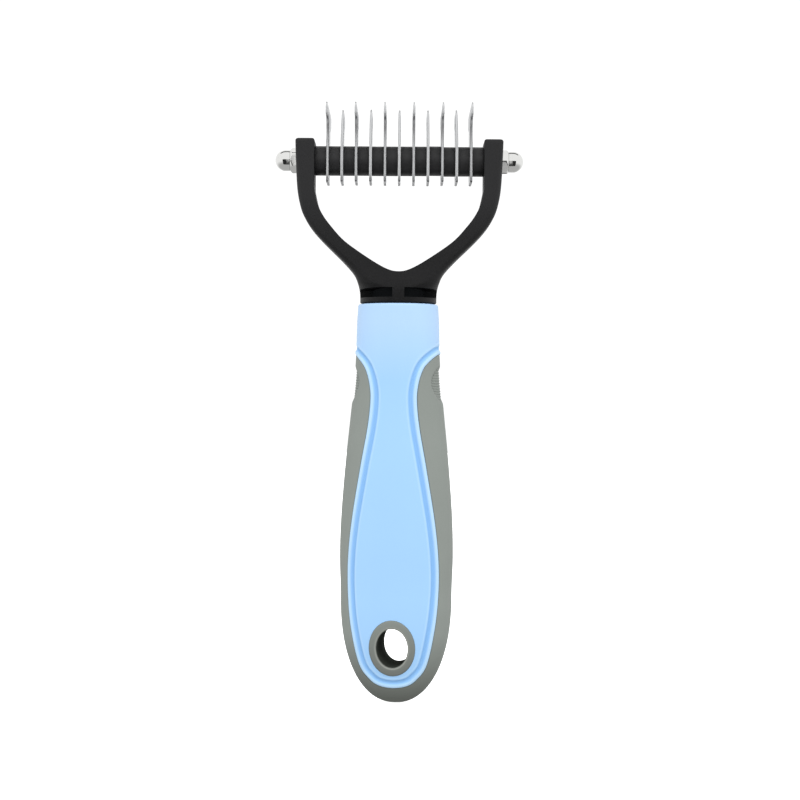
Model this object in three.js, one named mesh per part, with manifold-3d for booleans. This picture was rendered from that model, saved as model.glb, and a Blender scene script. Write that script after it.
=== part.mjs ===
// Two-sided undercoat rake: a fork that clamps a row of hooked blades on a cross rod,
// on a two-material handle with a hanging hole.
// Millimetres. +Z runs up the tool from the butt to the blades, -Y is the coarse (front) side.

import * as THREE from 'three';
import { mergeVertices } from 'three/addons/utils/BufferGeometryUtils.js';
import Module from 'manifold-3d';

const wasm = await Module();
wasm.setup();

// ---------------------------------------------------------------- driving dimensions

const GAP = 0.3;                    // assembly clearance between moulded pieces
const HANDLE_TURN = -6.75;          // degrees the handle sits turned on the fork's round tang

// blade row
const ROD_HEIGHT = 169;
const ROD_RADIUS = 2;               // M4
const BLADE_COUNT = 11;
const BLADE_PITCH = 4.45;
const BLADE_THICKNESS = 0.8;
const BLADE_BORE = 2.2;
const EYE_HALF = 7;                 // the square eye plate that sits on the rod
const EYE_BOTTOM = -7.2;
const HOOK_REACH = 16;              // from the rod's axis to a hook's tip
const HOOK_TOP = 16.7;              // from the rod's axis to a blade's crown
const SPACER_RADIUS = 4.6;

// cap nuts, M4, low acorn form
const NUT_FLATS = 7;
const NUT_HEX_HEIGHT = 3.2;
const NUT_DOME_RADIUS = 3.25;
const NUT_HEIGHT = 8;
const NUT_SINK = 1.55;              // how deep a nut sits in the arm's outer face
const NUT_SEAT_RADIUS = 4.4;

// fork
const FORK_TOP = 175.4;
const ARM_INNER = 26.3;
const ARM_OUTER = 32.3;
const COLLAR_BOTTOM = 125;
const THROAT_BOTTOM = 134.1;
const SLOT_LOW = 126.6;
const SLOT_HIGH = 129.4;
const SLOT_INNER_RADIUS = 8.8;
const RIB_HALF = 1.85;
const TANG_RADIUS = 7.5;
const TANG_LENGTH = 30;

// handle
const HANDLE_TOP = 124.7;
const BUTT_HEIGHT = 33;             // height of the rounded form that closes the butt
const BUTT_SQUARENESS = 2.2;        // 2 would round it off as an ellipse
const BUTT_HALF_WIDTH = 17.3;
const BUTT_HALF_DEPTH = 11.5;
const GRIP_SKIN = 2.6;              // thickness of the soft overmould
const HOLE_HEIGHT = 17.9;
const GROMMET_OUTER = [7.15, 8.7];     // half width and half height of the oval
const GROMMET_INNER = [4.85, 6.05];
const GROMMET_PROUD = 0.3;
const THUMB_HEIGHT = 99.6;

// [height, value] stations of the handle's outer form
const HANDLE_HALF_WIDTH = [
  [BUTT_HEIGHT, BUTT_HALF_WIDTH], [46, 17.65], [58, 17.3], [73, 16.2], [90, 14.55],
  [100, 13.55], [109, 13], [118, 12.8], [HANDLE_TOP, 12.4],
];
const HANDLE_HALF_DEPTH = [
  [BUTT_HEIGHT, BUTT_HALF_DEPTH], [52, 12.1], [73, 11.9], [95, 11.3], [109, 11.8],
  [HANDLE_TOP, 12.1],
];
// [height, value] stations of the fork's outer form
const FORK_HALF_WIDTH = [
  [COLLAR_BOTTOM, 11.9], [128, 12], [130.5, 12.6], [133.5, 13.9], [136.9, 16.8], [144.4, 24.4],
  [148.2, 27.6], [151.9, 29.75], [155.7, 30.9], [160, 31.6], [167, 32], [FORK_TOP, ARM_OUTER],
];
const FORK_HALF_DEPTH = [
  [COLLAR_BOTTOM, 11.7], [129, 11.5], [131.5, 10.6], [135, 8.8], [139, 7.5], [145, 6.7], [FORK_TOP, 6.5],
];
const FORK_CORNER = [
  [COLLAR_BOTTOM, 11.6], [128, 10.4], [130.5, 5.8], [133.8, 3.4], [140, 2.2], [150, 1.8], [166, 1.6],
  [171, 0.9], [FORK_TOP, 0.7],
];
// right half of the opening between the arms, from the throat up
const THROAT = [
  [0, THROAT_BOTTOM], [2.6, 134.5], [6.3, 136.3], [12.3, 140.2], [17.1, 143.8], [20.6, 147.6],
  [23.4, 151.3], [25.2, 155], [ARM_INNER, 159.8],
];
// right half of the blue panel's outline, from its foot up to where it leaves the handle's side
const PANEL = [
  [0, 5.2], [4.3, 5.9], [7.2, 7.8], [10.4, 12.2], [12.6, 21], [13.9, 31], [14.2, 43], [13.1, 56],
  [10.4, 73], [8.1, 86], [7.3, 94], [7.6, 98.8], [8.7, 103], [10.3, 105.7], [14.3, 109.9],
];


// ---------------------------------------------------------------- helpers

// Value at a height on a smooth curve through [height, value] stations.
function smooth(stations, height) {
  const last = stations.length - 1;
  let i = stations.findIndex((station) => height <= station[0]) - 1;
  if (height >= stations[last][0]) i = last - 1;
  i = Math.max(i, 0);
  const slope = (k) => {
    const a = stations[Math.max(k - 1, 0)];
    const b = stations[Math.min(k + 1, last)];
    return (b[1] - a[1]) / (b[0] - a[0]);
  };
  const [h0, v0] = stations[i];
  const [h1, v1] = stations[i + 1];
  const span = h1 - h0;
  const t = THREE.MathUtils.clamp((height - h0) / span, 0, 1);
  const s0 = slope(i) * span;
  const s1 = slope(i + 1) * span;
  return v0 + t * (s0 + t * (3 * (v1 - v0) - 2 * s0 - s1 + t * (s0 + s1 - 2 * (v1 - v0))));
}

// Points of the right half of a spline that starts on x = 0 and is mirrored about it.
function halfCurve(pairs, count) {
  const right = pairs.map(([x, y]) => new THREE.Vector2(x, y));
  const left = right.slice(1).reverse().map((p) => new THREE.Vector2(-p.x, p.y));
  return new THREE.SplineCurve([...left, ...right]).getPoints(2 * count).slice(count);
}

// A closed outline from its right half, mirrored about x = 0.
function mirroredShape(rightHalf) {
  const left = rightHalf.filter((p) => p.x > 1e-6).reverse().map((p) => new THREE.Vector2(-p.x, p.y));
  return new THREE.Shape([...rightHalf, ...left]);
}

// Joins horizontal rings, lowest first, into a closed body with a centre point at each end.
function loft(rings, foot, head) {
  const size = rings[0].length;
  const positions = [];
  const index = [];
  for (const point of [...rings.flat(), foot, head]) positions.push(point.x, point.y, point.z);
  const footIndex = rings.length * size;
  const lastRing = (rings.length - 1) * size;
  for (let j = 0; j < size; j++) {
    const next = (j + 1) % size;
    for (let base = 0; base < lastRing; base += size) {
      index.push(base + j, base + next, base + size + next);
      index.push(base + j, base + size + next, base + size + j);
    }
    index.push(footIndex, next, j);
    index.push(footIndex + 1, lastRing + j, lastRing + next);
  }
  const geometry = new THREE.BufferGeometry();
  geometry.setAttribute('position', new THREE.Float32BufferAttribute(positions, 3));
  geometry.setIndex(index);
  return geometry;
}

// A manifold solid from a closed three.js geometry.
function solid(geometry) {
  const bare = geometry.clone();
  bare.deleteAttribute('normal');
  bare.deleteAttribute('uv');
  const merged = mergeVertices(bare, 1e-4);
  return new wasm.Manifold(new wasm.Mesh({
    numProp: 3,
    vertProperties: new Float32Array(merged.attributes.position.array),
    triVerts: new Uint32Array(merged.index.array),
  }));
}

// A three.js geometry from a manifold solid.
function toGeometry(manifold) {
  const mesh = manifold.getMesh();
  const geometry = new THREE.BufferGeometry();
  geometry.setAttribute('position', new THREE.BufferAttribute(mesh.vertProperties, 3));
  geometry.setIndex(new THREE.BufferAttribute(mesh.triVerts, 1));
  geometry.computeVertexNormals();
  return geometry;
}

// An outline drawn in X and Z, made thick along Y and centred on Y = 0.
function extrudeAlongY(shape, thickness) {
  const geometry = new THREE.ExtrudeGeometry(shape, { depth: thickness, bevelEnabled: false });
  return geometry.rotateX(Math.PI / 2).translate(0, thickness / 2, 0);
}

// An outline drawn in Y and Z, made thick along X and centred on X = 0.
function extrudeAlongX(shape, thickness, steps) {
  const options = { depth: thickness, bevelEnabled: false, curveSegments: steps };
  const geometry = new THREE.ExtrudeGeometry(shape, options);
  const turn = new THREE.Matrix4().makeBasis(
    new THREE.Vector3(0, 1, 0), new THREE.Vector3(0, 0, 1), new THREE.Vector3(1, 0, 0));
  return geometry.applyMatrix4(turn).translate(-thickness / 2, 0, 0);
}

// A round body along X from a [radius, x] profile that starts and ends on the axis.
function turnedAlongX(profile, segments) {
  const points = profile.map(([radius, x]) => new THREE.Vector2(radius, x));
  return new THREE.LatheGeometry(points, segments).rotateZ(-Math.PI / 2);
}

function cylinderAlongX(radius, x0, x1, segments) {
  return turnedAlongX([[0, x0], [radius, x0], [radius, x1], [0, x1]], segments);
}

function cylinderAlongZ(radius, z0, z1, segments) {
  return new THREE.CylinderGeometry(radius, radius, z1 - z0, segments)
    .rotateX(Math.PI / 2).translate(0, 0, (z0 + z1) / 2);
}

function block(width, depth, height, x, y, z) {
  return new THREE.BoxGeometry(width, depth, height).translate(x, y, z);
}

function ovalShape(halfWidth, halfHeight, x, y) {
  return new THREE.Shape().absellipse(x, y, halfWidth, halfHeight, 0, 2 * Math.PI);
}

// ---------------------------------------------------------------- finishes

const steel = { color: 0xc9cbcd, roughness: 0.3, metalness: 1 };
const chrome = { color: 0xd8dadc, roughness: 0.1, metalness: 1 };
const blackNylon = { color: 0x2c2c2d, roughness: 0.55, metalness: 0 };
const blackSleeve = { color: 0x242425, roughness: 0.5, metalness: 0 };
const bluePlastic = { color: 0xa6d3fe, roughness: 0.45, metalness: 0 };
const greyRubber = { color: 0x8f968d, roughness: 0.75, metalness: 0 };

const rake = new THREE.Group();
const handleGroup = new THREE.Group();
handleGroup.rotation.z = THREE.MathUtils.degToRad(HANDLE_TURN);
rake.add(handleGroup);

function addPiece(group, name, geometry, finish) {
  const mesh = new THREE.Mesh(geometry, new THREE.MeshStandardMaterial(finish));
  mesh.name = name;
  group.add(mesh);
  return mesh;
}

// ---------------------------------------------------------------- blades

// The back half of a blade's side view: eye plate, neck and hook, in Y and Z about the rod's axis.
function backHook(shape) {
  shape.lineTo(4.6, EYE_BOTTOM);
  shape.quadraticCurveTo(EYE_HALF, EYE_BOTTOM, EYE_HALF, -4.6);
  shape.lineTo(EYE_HALF, 4.5);
  shape.bezierCurveTo(7.1, 8.8, 8.4, 12, 11, 12.2);
  shape.quadraticCurveTo(12.6, 12.3, 13.4, 11.4);
  shape.bezierCurveTo(14.3, 10.5, HOOK_REACH, 11.2, HOOK_REACH, 13.2);
  shape.bezierCurveTo(HOOK_REACH, 15.2, 15.2, 16.5, 13.4, 16.6);
}

// The front half of a double hooked blade, whose tip turns down a little less.
function frontHook(shape) {
  shape.lineTo(-13.4, 16.6);
  shape.bezierCurveTo(-15.2, 16.5, -HOOK_REACH, 15.5, -HOOK_REACH, 14);
  shape.bezierCurveTo(-HOOK_REACH, 12.4, -14.4, 11.6, -13.4, 12.3);
  shape.quadraticCurveTo(-12.6, 12.8, -11, 12.6);
  shape.bezierCurveTo(-8.4, 12.2, -7.1, 8.8, -EYE_HALF, 4.5);
}

// The plain front edge of a single hooked blade, which leans back from the eye plate to the crown.
function frontEdge(shape) {
  shape.quadraticCurveTo(8, HOOK_TOP, 4.4, HOOK_TOP);
  shape.quadraticCurveTo(2.6, HOOK_TOP, 1.6, 15.4);
  shape.lineTo(-EYE_HALF, 4.5);
}

function bladeShape(doubleHooked) {
  const shape = new THREE.Shape();
  shape.moveTo(-4.6, EYE_BOTTOM);
  backHook(shape);
  if (doubleHooked) {
    shape.quadraticCurveTo(7, HOOK_TOP, 0, HOOK_TOP);
    shape.quadraticCurveTo(-7, HOOK_TOP, -13.4, 16.6);
    frontHook(shape);
  } else {
    frontEdge(shape);
  }
  shape.lineTo(-EYE_HALF, -4.6);
  shape.quadraticCurveTo(-EYE_HALF, EYE_BOTTOM, -4.6, EYE_BOTTOM);
  shape.holes.push(ovalShape(BLADE_BORE, BLADE_BORE, 0, 0));
  return shape;
}

function twoDigits(number) {
  return String(number).padStart(2, '0');
}

const bladeRow = new THREE.Group();
bladeRow.position.z = ROD_HEIGHT;
rake.add(bladeRow);

for (let i = 0; i < BLADE_COUNT; i++) {
  const geometry = extrudeAlongX(bladeShape(i % 2 === 0), BLADE_THICKNESS, 5);
  const blade = addPiece(bladeRow, `blade_${twoDigits(i + 1)}`, geometry, steel);
  blade.position.x = (i - (BLADE_COUNT - 1) / 2) * BLADE_PITCH;
}

// ---------------------------------------------------------------- spacers, rod and cap nuts

const spacerLength = BLADE_PITCH - BLADE_THICKNESS;

for (let i = 0; i <= BLADE_COUNT; i++) {
  const ring = ovalShape(SPACER_RADIUS, SPACER_RADIUS, 0, 0);
  ring.holes.push(ovalShape(BLADE_BORE, BLADE_BORE, 0, 0));
  const spacer = addPiece(bladeRow, `spacer_${twoDigits(i + 1)}`,
    extrudeAlongX(ring, spacerLength, 10), blackSleeve);
  spacer.position.x = (i - BLADE_COUNT / 2) * BLADE_PITCH;
}

const nutBase = ARM_OUTER - NUT_SINK;
const nutTip = nutBase + NUT_HEIGHT;
const rodEnd = nutTip - 2.4;
const ROD_CHAMFER = 0.5;

addPiece(bladeRow, 'cross_rod', turnedAlongX([
  [0, -rodEnd], [ROD_RADIUS - ROD_CHAMFER, -rodEnd], [ROD_RADIUS, ROD_CHAMFER - rodEnd],
  [ROD_RADIUS, rodEnd - ROD_CHAMFER], [ROD_RADIUS - ROD_CHAMFER, rodEnd], [0, rodEnd],
], 20), steel);

// An acorn nut with its hexagon at the arm and its dome pointing along +X.
function capNut() {
  const cornerRadius = NUT_FLATS / Math.sqrt(3);
  const hexTop = nutBase + NUT_HEX_HEIGHT;
  const hex = solid(new THREE.CylinderGeometry(cornerRadius, cornerRadius, NUT_HEX_HEIGHT, 6)
    .rotateZ(-Math.PI / 2).translate(nutBase + NUT_HEX_HEIGHT / 2, 0, 0));
  const chamfer = solid(turnedAlongX([
    [0, nutBase - 1], [cornerRadius + 0.4, nutBase - 1], [cornerRadius + 0.4, hexTop - 0.9],
    [NUT_FLATS / 2 - 0.1, hexTop], [0, hexTop],
  ], 24));
  const dome = [[0, nutBase + 1], [NUT_DOME_RADIUS, nutBase + 1]];
  const domeSteps = 6;
  for (let i = 0; i <= domeSteps; i++) {
    const angle = (i / domeSteps) * Math.PI / 2;
    dome.push([NUT_DOME_RADIUS * Math.cos(angle), nutTip - NUT_DOME_RADIUS * (1 - Math.sin(angle))]);
  }
  dome[dome.length - 1][0] = 0;
  const bore = solid(cylinderAlongX(ROD_RADIUS + 0.15, nutBase - 1, rodEnd + 0.5, 20));
  return hex.intersect(chamfer).add(solid(turnedAlongX(dome, 20))).subtract(bore);
}

// The nuts stop where they are tight: the left one with two corners upright, the right one with flats.
const nutGeometry = toGeometry(capNut());
addPiece(bladeRow, 'cap_nut_left', nutGeometry.clone().rotateZ(Math.PI), chrome);
addPiece(bladeRow, 'cap_nut_right', nutGeometry.rotateX(Math.PI / 6), chrome);

// ---------------------------------------------------------------- fork

// A rounded rectangle at one height, anticlockwise seen from above.
function roundedRing(halfWidth, halfDepth, corner, z) {
  const steps = 5;
  const ring = [];
  const r = Math.min(corner, halfWidth, halfDepth);
  for (let quarter = 0; quarter < 4; quarter++) {
    const sx = quarter === 0 || quarter === 3 ? 1 : -1;
    const sy = quarter < 2 ? 1 : -1;
    for (let i = 0; i <= steps; i++) {
      const angle = (quarter + i / steps) * Math.PI / 2;
      const x = sx * (halfWidth - r) + r * Math.cos(angle);
      const y = sy * (halfDepth - r) + r * Math.sin(angle);
      ring.push(new THREE.Vector3(x, y, z));
    }
  }
  return ring;
}

function forkHeights() {
  const heights = [COLLAR_BOTTOM];
  for (let z = 127; z < 160; z += z < 136 ? 1.5 : 3) heights.push(z);
  return [...heights, 163, 168, FORK_TOP];
}

function fork() {
  const rings = forkHeights().map((z) => roundedRing(
    smooth(FORK_HALF_WIDTH, z), smooth(FORK_HALF_DEPTH, z), smooth(FORK_CORNER, z), z));
  const outer = solid(loft(rings,
    new THREE.Vector3(0, 0, COLLAR_BOTTOM), new THREE.Vector3(0, 0, FORK_TOP)));

  const open = halfCurve(THROAT, 22);
  open.push(new THREE.Vector2(ARM_INNER, FORK_TOP + 5));
  const opening = solid(extrudeAlongY(mirroredShape(open), 60));

  const slotRing = solid(new THREE.LatheGeometry([
    new THREE.Vector2(SLOT_INNER_RADIUS, SLOT_LOW), new THREE.Vector2(15, SLOT_LOW),
    new THREE.Vector2(15, SLOT_HIGH), new THREE.Vector2(SLOT_INNER_RADIUS, SLOT_HIGH),
    new THREE.Vector2(SLOT_INNER_RADIUS, SLOT_LOW),
  ], 32).rotateX(Math.PI / 2));
  const slotMiddle = (SLOT_LOW + SLOT_HIGH) / 2;
  const frontRibs = solid(block(2 * RIB_HALF, 40, 10, 0, 0, slotMiddle));
  const sideRibs = solid(block(40, 3, 10, 0, 0, slotMiddle));
  const slots = slotRing.subtract(frontRibs).subtract(sideRibs);

  const tang = solid(cylinderAlongZ(TANG_RADIUS, COLLAR_BOTTOM - TANG_LENGTH, COLLAR_BOTTOM + 1, 28));
  const bore = solid(cylinderAlongX(ROD_RADIUS + 0.2, -50, 50, 24).translate(0, 0, ROD_HEIGHT));
  const seat = (side) => solid(cylinderAlongX(NUT_SEAT_RADIUS, nutBase, 50, 32)
    .rotateZ(side > 0 ? 0 : Math.PI).translate(0, 0, ROD_HEIGHT));
  return outer.subtract(opening).subtract(slots).add(tang)
    .subtract(bore).subtract(seat(1)).subtract(seat(-1));
}

addPiece(rake, 'fork_head', toGeometry(fork()), blackNylon);

// ---------------------------------------------------------------- handle

// Squareness of the handle's cross-section: nearly round at the cap, fuller at the belly.
function squareness(z) {
  return 2.5 - 0.35 * THREE.MathUtils.smoothstep(z, 60, 120);
}

// One horizontal section of the handle, grown outwards by the given amount.
function handleRing(halfWidth, halfDepth, z, grow) {
  const sides = 32;
  const power = 2 / squareness(z);
  const ring = [];
  for (let j = 0; j < sides; j++) {
    const angle = (j / sides) * 2 * Math.PI;
    const c = Math.cos(angle);
    const s = Math.sin(angle);
    ring.push(new THREE.Vector3(
      Math.sign(c) * Math.abs(c) ** power * (halfWidth + grow),
      Math.sign(s) * Math.abs(s) ** power * (halfDepth + grow), z));
  }
  return ring;
}

// The handle's whole outer form, grown or shrunk by the given amount, up to the given height.
function handleForm(grow, top) {
  const rings = [];
  const buttSteps = 9;
  for (let i = 1; i < buttSteps; i++) {
    const angle = (i / buttSteps) * Math.PI / 2;
    const z = BUTT_HEIGHT - (BUTT_HEIGHT + grow) * Math.cos(angle) ** (2 / BUTT_SQUARENESS);
    const share = Math.sin(angle) ** (2 / BUTT_SQUARENESS);
    rings.push(handleRing(BUTT_HALF_WIDTH * share, BUTT_HALF_DEPTH * share, z, grow * share));
  }
  const bodySteps = 14;
  for (let i = 0; i <= bodySteps; i++) {
    const z = BUTT_HEIGHT + (top - BUTT_HEIGHT) * i / bodySteps;
    rings.push(handleRing(smooth(HANDLE_HALF_WIDTH, z), smooth(HANDLE_HALF_DEPTH, z), z, grow));
  }
  return solid(loft(rings, new THREE.Vector3(0, 0, -grow), new THREE.Vector3(0, 0, top)));
}

// Everything in front of, behind and above the blue panel's outline, grown by the given amount.
function panelTunnel(grow) {
  const curve = halfCurve(PANEL, 28);
  const half = curve.map((p, i) => {
    const before = curve[Math.max(i - 1, 0)];
    const after = curve[Math.min(i + 1, curve.length - 1)];
    const along = after.clone().sub(before).normalize();
    const x = i === 0 ? 0 : p.x + grow * along.y;
    return new THREE.Vector2(x, i === 0 ? p.y - grow : p.y - grow * along.x);
  });
  half.push(new THREE.Vector2(30, half[half.length - 1].y), new THREE.Vector2(30, 140));
  return solid(extrudeAlongY(mirroredShape([...half, new THREE.Vector2(0, 140)]), 60));
}

function ovalBar([halfWidth, halfHeight], grow) {
  return solid(extrudeAlongY(ovalShape(halfWidth + grow, halfHeight + grow, 0, HOLE_HEIGHT), 60));
}

const handleOuter = handleForm(0, HANDLE_TOP);
const handleInner = handleForm(-GRIP_SKIN, HANDLE_TOP - 20);

function handleCore() {
  const socket = solid(cylinderAlongZ(TANG_RADIUS + GAP, COLLAR_BOTTOM - TANG_LENGTH - GAP, 140, 28));
  return handleOuter.intersect(panelTunnel(0)).add(handleInner)
    .subtract(socket).subtract(ovalBar(GROMMET_OUTER, GAP));
}

// A shallow oval dip in the side of the grip where the thumb or finger rests.
function thumbDip(side) {
  const dip = new THREE.SphereGeometry(1, 20, 14).scale(1.7, 6.6, 7.6);
  return solid(dip.translate(side * (smooth(HANDLE_HALF_WIDTH, THUMB_HEIGHT) + 1.15), 0, THUMB_HEIGHT));
}

function gripOvermould() {
  return handleOuter.subtract(panelTunnel(GAP)).subtract(handleForm(GAP - GRIP_SKIN, HANDLE_TOP - 20 + GAP))
    .subtract(ovalBar(GROMMET_OUTER, GAP)).subtract(thumbDip(1)).subtract(thumbDip(-1));
}

function grommet() {
  return ovalBar(GROMMET_OUTER, 0).subtract(ovalBar(GROMMET_INNER, 0))
    .intersect(handleForm(GROMMET_PROUD, HANDLE_TOP));
}

addPiece(handleGroup, 'handle_core', toGeometry(handleCore()), bluePlastic);
addPiece(handleGroup, 'grip_overmould', toGeometry(gripOvermould()), greyRubber);
addPiece(handleGroup, 'hang_hole_grommet', toGeometry(grommet()), greyRubber);

export default rake;
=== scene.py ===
"""Two-sided undercoat rake: moulded fork, hooked blades on a cross rod, two-material handle."""

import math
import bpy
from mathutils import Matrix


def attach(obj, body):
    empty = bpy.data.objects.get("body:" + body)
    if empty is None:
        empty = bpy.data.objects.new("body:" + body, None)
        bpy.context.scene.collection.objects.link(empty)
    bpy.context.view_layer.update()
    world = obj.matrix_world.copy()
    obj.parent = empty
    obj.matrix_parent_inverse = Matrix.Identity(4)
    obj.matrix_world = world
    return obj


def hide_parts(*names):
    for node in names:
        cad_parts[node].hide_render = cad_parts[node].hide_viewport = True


bl_info = {
    "name": "Undercoat Rake",
    "version": (1, 0, 0),
    "blender": (4, 5, 0),
    "location": "View3D > Sidebar > Rake",
    "description": "Builds the finished pieces of a two-sided undercoat rake over its packed frame",
    "category": "Object",
}

import bmesh
import bpy
import numpy as np
from mathutils.geometry import tessellate_polygon

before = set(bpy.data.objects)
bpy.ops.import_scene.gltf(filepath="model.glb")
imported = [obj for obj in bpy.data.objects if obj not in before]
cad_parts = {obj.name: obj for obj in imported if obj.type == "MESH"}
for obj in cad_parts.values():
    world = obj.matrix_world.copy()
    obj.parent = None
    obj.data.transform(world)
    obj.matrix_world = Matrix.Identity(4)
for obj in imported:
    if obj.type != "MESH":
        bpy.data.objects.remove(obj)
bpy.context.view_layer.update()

MM = 0.001
WELD = 0.0005  # points closer than this, in millimetres, are one point

# ------------------------------------------------------------ forms, in millimetres
# Stations are (height, value) pairs that a smooth curve runs through.

HANDLE_TOP = 124.2
BUTT = 33.0
BUTT_SQUARENESS = 2.2
HANDLE_HALF_WIDTH = (
    (33, 17.3), (46, 17.65), (58, 17.3), (73, 16.2), (90, 14.55),
    (100, 13.55), (109, 13), (118, 12.8), (124.7, 12.4),
)
HANDLE_HALF_DEPTH = ((33, 11.5), (52, 12.1), (73, 11.9), (95, 11.3), (109, 11.8), (124.7, 12.1))
# Right half of the blue panel's outline, as (x, height), from its foot to where it leaves the side.
PANEL = (
    (0, 5.2), (4.3, 5.9), (7.2, 7.8), (10.4, 12.2), (12.6, 21), (13.9, 31), (14.2, 43), (13.1, 56),
    (10.4, 73), (8.1, 86), (7.3, 94), (7.6, 98.8), (8.7, 103), (10.3, 105.7), (14.3, 109.9),
)
HOLE_HEIGHT = 17.9
RING_OUTER = (7.15, 8.7)  # half width and half height of the oval ring in the hanging hole
RING_INNER = (4.85, 6.05)
TANG_SOCKET_RADIUS = 7.8
THUMB_HEIGHT = 99.6
THUMB_HALF_DEPTH = 7.4  # the thumb rest's reach to the front and to the back
THUMB_UP, THUMB_DOWN = 5.6, 6.6  # and its reach up and down

COLLAR_BOTTOM = 124.5
COLLAR_TOP = 130.2  # where the collar starts to spread into the arms
SLOT_BOTTOM, SLOT_TOP = 126.1, 129.05
SLOT_DEPTH_RADIUS = 8.0  # how near the slots come to the tool's axis
FORK_TOP = 175.4
BORE_RADIUS = 2.2  # of every hole that the cross rod runs through
SLEEVE_RADIUS = 4.6
SEAT_X, SEAT_RADIUS = 30.75, 4.4  # the flat seat for the nut on each arm
ARM_INNER = 26.3
FORK_HALF_WIDTH = (
    (124.5, 11.9), (128, 12), (130.5, 12.6), (133.5, 13.9), (136.9, 16.8), (144.4, 24.4),
    (148.2, 27.6), (151.9, 29.75), (155.7, 30.9), (160, 31.6), (167, 32), (176.3, 32.3),
)
FORK_HALF_DEPTH = (
    (124.5, 11.7), (129, 11.5), (131.5, 10.6), (135, 8.8), (139, 7.5), (145, 6.7), (176.3, 6.5),
)
FORK_CORNER = (
    (124.5, 11.6), (128, 10.4), (130.5, 5.8), (133.8, 3.4), (140, 2.2), (150, 1.8), (166, 1.6),
    (171, 0.9), (176.3, 0.7),
)
# Right half of the opening between the arms, as (x, height), from the throat up.
THROAT = (
    (0, 134.1), (2.6, 134.5), (6.3, 136.3), (12.3, 140.2), (17.1, 143.8), (20.6, 147.6),
    (23.4, 151.3), (25.2, 155), (ARM_INNER, 159.8),
)


def along(stations, height):
    """Value at each height on the smooth curve through the stations, which starts out level."""
    h, v = np.array(stations, float).T
    slope = np.zeros_like(v)
    slope[1:-1] = (v[2:] - v[:-2]) / (h[2:] - h[:-2])
    slope[-1] = (v[-1] - v[-2]) / (h[-1] - h[-2])
    i = np.clip(np.searchsorted(h, height) - 1, 0, len(h) - 2)
    span = h[i + 1] - h[i]
    t = np.clip((height - h[i]) / span, 0, 1)
    s0, s1, rise = slope[i] * span, slope[i + 1] * span, v[i + 1] - v[i]
    return v[i] + t * (s0 + t * (3 * rise - 2 * s0 - s1 + t * (s0 + s1 - 2 * rise)))


def ease(low, high, value):
    """0 below low, 1 above high, and a soft step between."""
    t = np.clip((value - low) / (high - low), 0, 1)
    return t * t * (3 - 2 * t)


def half_spline(points, steps):
    """Smooth curve through the points, which starts square to the line x = 0."""
    p = np.array(points, float)
    p = np.vstack([p[1] * [-1, 1], p, p[-1]])
    t = np.linspace(0, 1, steps, endpoint=False)[:, None]
    runs = []
    for a, b, c, d in zip(p, p[1:], p[2:], p[3:]):
        v0, v1 = (c - a) / 2, (d - b) / 2
        runs.append((2 * b - 2 * c + v0 + v1) * t**3 + (3 * c - 3 * b - 2 * v0 - v1) * t**2 + v0 * t + b)
    return np.vstack(runs + [p[-2:-1]])


def lengths(points):
    """Distance along a polyline to each of its points."""
    return np.concatenate([[0], np.cumsum(np.linalg.norm(np.diff(points, axis=0), axis=1))])


def pick(points, where, at):
    """Points of a polyline at the given values of a rising measure along it."""
    return np.stack([np.interp(at, where, column) for column in points.T], axis=1)


def unit(v):
    return v / np.linalg.norm(v, axis=-1, keepdims=True)


# ------------------------------------------------------------ mesh helpers


class Skin:
    """Collects grids of points and turns them into one closed mesh."""

    def __init__(self):
        self.points, self.faces, self.relief = [], [], []

    def grid(self, rows, loop=False, relief=None):
        """Adds quads between rows of points; relief gives each row a value that its finish paints as
        highlight where positive and as shade where negative.
        """
        rows = np.asarray(rows, float)
        count, width = rows.shape[:2]
        first = len(self.points)
        self.points.extend(map(tuple, rows.reshape(-1, 3)))
        self.relief.extend(np.repeat(np.zeros(count) if relief is None else relief, width))
        for i in range(count - 1):
            for j in range(width if loop else width - 1):
                a, b = first + i * width, (j + 1) % width
                self.faces.append((a + j, a + b, a + width + b, a + width + j))

    def fill(self, ring):
        """Adds one flat face round a ring of points."""
        first = len(self.points)
        self.points.extend(map(tuple, ring))
        self.relief.extend([0.0] * len(ring))
        self.faces.append(tuple(range(first, first + len(ring))))

    def mirrored(self, *axes):
        """Adds the mirror image across each axis in turn."""
        for axis in axes:
            first = len(self.points)
            points = np.array(self.points)
            points[np.abs(points[:, axis]) < 0.01, axis] = 0
            flip = [1, 1, 1]
            flip[axis] = -1
            self.points = list(map(tuple, np.vstack([points, points * flip])))
            self.relief.extend(list(self.relief))
            self.faces.extend([tuple(first + i for i in face[::-1]) for face in self.faces])
        return self

    def mesh(self, name, turn=0.0, sharp=35):
        """The closed mesh in metres, turned about the tool's axis, with its faces pointing out."""
        points = np.array(self.points)
        c, s = math.cos(turn), math.sin(turn)
        points = points @ np.array([[c, s, 0], [-s, c, 0], [0, 0, 1]])
        build = bmesh.new()
        layer = build.verts.layers.float.new("relief") if any(self.relief) else None
        verts = [build.verts.new(p) for p in points]
        for vert, value in zip(verts, self.relief if layer else ()):
            vert[layer] = value
        for face in self.faces:
            build.faces.new([verts[i] for i in face])
        bmesh.ops.remove_doubles(build, verts=build.verts, dist=WELD)
        bmesh.ops.dissolve_degenerate(build, edges=build.edges, dist=WELD / 2)
        bmesh.ops.recalc_face_normals(build, faces=build.faces)
        if build.calc_volume(signed=True) < 0:
            bmesh.ops.reverse_faces(build, faces=build.faces)
        bmesh.ops.scale(build, vec=(MM, MM, MM), verts=build.verts)
        for face in build.faces:
            face.smooth = True
        mesh = bpy.data.meshes.new(name)
        build.to_mesh(mesh)
        open_edges = sum(1 for e in build.edges if len(e.link_faces) != 2)
        if open_edges:
            print(f"{name}: {open_edges} edges are not closed")
        build.free()
        mesh.set_sharp_from_angle(angle=math.radians(sharp))
        return mesh


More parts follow.
